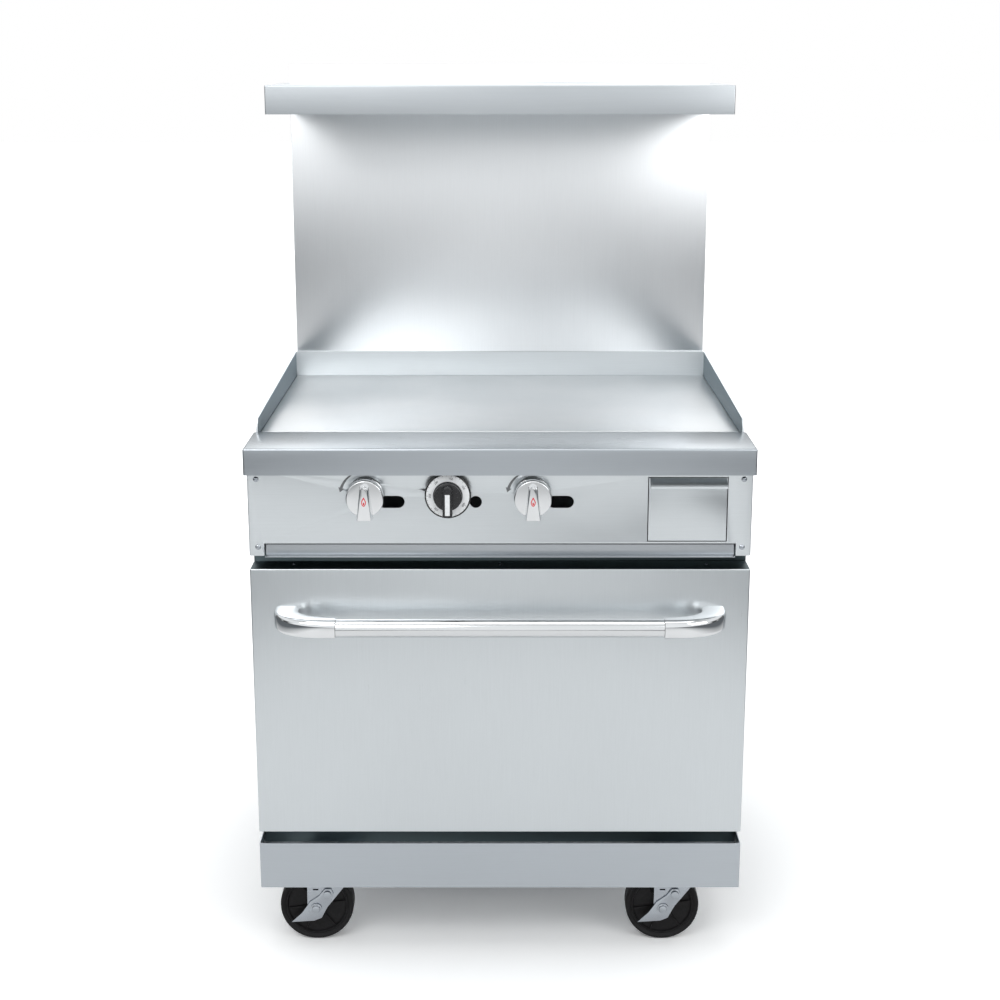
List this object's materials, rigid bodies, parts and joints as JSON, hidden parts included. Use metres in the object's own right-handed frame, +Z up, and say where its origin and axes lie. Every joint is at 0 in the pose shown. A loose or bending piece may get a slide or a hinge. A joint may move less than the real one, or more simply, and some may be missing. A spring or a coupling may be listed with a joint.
{
  "type": "commercial gas range",
  "caption": "Stainless commercial gas range with a griddle top, an oven behind a drop-down door, a high shelf on a backguard, and braked swivel casters.",
  "frame": {"origin": "on the floor under the middle of the object's box, wheels standing on z = 0", "axes": "+Z up, the front with the door and knobs faces -Y, +X to the right seen from the front"},
  "size_m": [0.9, 0.8694, 1.637],
  "materials": {
    "brushed_stainless": "fine horizontal or vertical brushed grain",
    "galvanised_sheet": "dull galvanised sheet with a faint spangle",
    "griddle_steel": "ground and polished heavy plate",
    "polished_steel": "satin polished tube",
    "chrome": "bright plated",
    "black_enamel": "gloss porcelain enamel",
    "mineral_wool": "matted fibre",
    "cast_iron": "rough as cast",
    "brass": "machined",
    "black_pipe": "matt black pipe",
    "black_plastic": "moulded semi-gloss",
    "zinc_plate": "bright zinc plated pressed steel",
    "wheel_black": "moulded hard black"
  },
  "bodies": {
    "root": {"back_panel": "galvanised_sheet", "backguard": "brushed_stainless", "base_pan": "galvanised_sheet", "caster_plate_front_left": "zinc_plate", "caster_plate_front_right": "zinc_plate", "caster_plate_rear_left": "zinc_plate", "caster_plate_rear_right": "zinc_plate", "control_panel": "brushed_stainless", "face_frame": "brushed_stainless", "flue_riser": "galvanised_sheet", "front_ledge": "brushed_stainless", "gas_manifold": "black_pipe", "gas_valve_left": "brass", "gas_valve_right": "brass", "grease_trough": "griddle_steel", "griddle_burner_left": "cast_iron", "griddle_burner_right": "cast_iron", "griddle_frame": "galvanised_sheet", "griddle_plate": "griddle_steel", "griddle_splash": "griddle_steel", "high_shelf": "brushed_stainless", "hinge_bracket_left": "zinc_plate", "hinge_bracket_right": "zinc_plate", "kick_panel": "brushed_stainless", "oven_burner": "cast_iron", "oven_deck": "black_enamel", "oven_insulation": "mineral_wool", "oven_liner": "black_enamel", "oven_rack": "chrome", "oven_thermostat": "galvanised_sheet", "rack_guide_left": "zinc_plate", "rack_guide_right": "zinc_plate", "side_panel_left": "brushed_stainless", "side_panel_right": "brushed_stainless"},
    "door": {"door_skin": "brushed_stainless", "door_inner": "galvanised_sheet", "door_insulation": "mineral_wool", "handle_bar": "polished_steel", "handle_elbow_left": "chrome", "handle_elbow_right": "chrome", "door_hinge_rod": "zinc_plate"},
    "griddle_knob_left": {"griddle_knob_left": "chrome"},
    "griddle_knob_right": {"griddle_knob_right": "chrome"},
    "thermostat_dial": {"thermostat_dial": "black_plastic"},
    "crumb_tray": {"crumb_tray": "brushed_stainless"},
    "grease_drawer": {"grease_drawer": "brushed_stainless"},
    "caster_front_left": {"caster_fork_front_left": "zinc_plate", "caster_axle_front_left": "zinc_plate"},
    "wheel_front_left": {"caster_wheel_front_left": "wheel_black"},
    "brake_left": {"brake_pedal_left": "zinc_plate"},
    "caster_front_right": {"caster_fork_front_right": "zinc_plate", "caster_axle_front_right": "zinc_plate"},
    "wheel_front_right": {"caster_wheel_front_right": "wheel_black"},
    "brake_right": {"brake_pedal_right": "zinc_plate"},
    "caster_rear_left": {"caster_fork_rear_left": "zinc_plate", "caster_axle_rear_left": "zinc_plate"},
    "wheel_rear_left": {"caster_wheel_rear_left": "wheel_black"},
    "caster_rear_right": {"caster_fork_rear_right": "zinc_plate", "caster_axle_rear_right": "zinc_plate"},
    "wheel_rear_right": {"caster_wheel_rear_right": "wheel_black"}
  },
  "joints": [
    {"name": "door_hinge", "type": "hinge", "parent": "root", "child": "door", "pos_m": [0, -0.33525, 0.257], "axis": [1, 0, 0], "range_deg": [0, 85], "stiffness_Nm_per_rad": 12, "springref_deg": -17.19},
    {"name": "griddle_valve_left", "type": "hinge", "parent": "root", "child": "griddle_knob_left", "pos_m": [-0.238, -0.34825, 0.894], "axis": [0, -1, 0], "range_deg": [0, 90]},
    {"name": "griddle_valve_right", "type": "hinge", "parent": "root", "child": "griddle_knob_right", "pos_m": [0.058, -0.34825, 0.894], "axis": [0, -1, 0], "range_deg": [0, 90]},
    {"name": "thermostat_turn", "type": "hinge", "parent": "root", "child": "thermostat_dial", "pos_m": [-0.092, -0.34825, 0.897], "axis": [0, -1, 0], "range_deg": [0, 270]},
    {"name": "crumb_tray_slide", "type": "slide", "parent": "root", "child": "crumb_tray", "axis": [0, -1, 0], "range_m": [0, 0.45]},
    {"name": "grease_drawer_slide", "type": "slide", "parent": "root", "child": "grease_drawer", "axis": [0, -1, 0], "range_m": [0, 0.24]},
    {"name": "swivel_front_left", "type": "hinge", "parent": "root", "child": "caster_front_left", "pos_m": [-0.33, -0.28525, 0.157], "axis": [0, 0, 1], "continuous": true},
    {"name": "roll_front_left", "type": "hinge", "parent": "caster_front_left", "child": "wheel_front_left", "pos_m": [-0.35, -0.28525, 0.07], "axis": [0, 1, 0], "continuous": true},
    {"name": "brake_left_press", "type": "hinge", "parent": "caster_front_left", "child": "brake_left", "pos_m": [-0.35, -0.28525, 0.07], "axis": [0, 1, 0], "range_deg": [0, 18]},
    {"name": "swivel_front_right", "type": "hinge", "parent": "root", "child": "caster_front_right", "pos_m": [0.33, -0.28525, 0.157], "axis": [0, 0, 1], "continuous": true},
    {"name": "roll_front_right", "type": "hinge", "parent": "caster_front_right", "child": "wheel_front_right", "pos_m": [0.31, -0.28525, 0.07], "axis": [0, 1, 0], "continuous": true},
    {"name": "brake_right_press", "type": "hinge", "parent": "caster_front_right", "child": "brake_right", "pos_m": [0.31, -0.28525, 0.07], "axis": [0, 1, 0], "range_deg": [0, 18]},
    {"name": "swivel_rear_left", "type": "hinge", "parent": "root", "child": "caster_rear_left", "pos_m": [-0.33, 0.34475, 0.157], "axis": [0, 0, 1], "continuous": true},
    {"name": "roll_rear_left", "type": "hinge", "parent": "caster_rear_left", "child": "wheel_rear_left", "pos_m": [-0.35, 0.34475, 0.07], "axis": [0, 1, 0], "continuous": true},
    {"name": "swivel_rear_right", "type": "hinge", "parent": "root", "child": "caster_rear_right", "pos_m": [0.33, 0.34475, 0.157], "axis": [0, 0, 1], "continuous": true},
    {"name": "roll_rear_right", "type": "hinge", "parent": "caster_rear_right", "child": "wheel_rear_right", "pos_m": [0.31, 0.34475, 0.07], "axis": [0, 1, 0], "continuous": true}
  ]
}
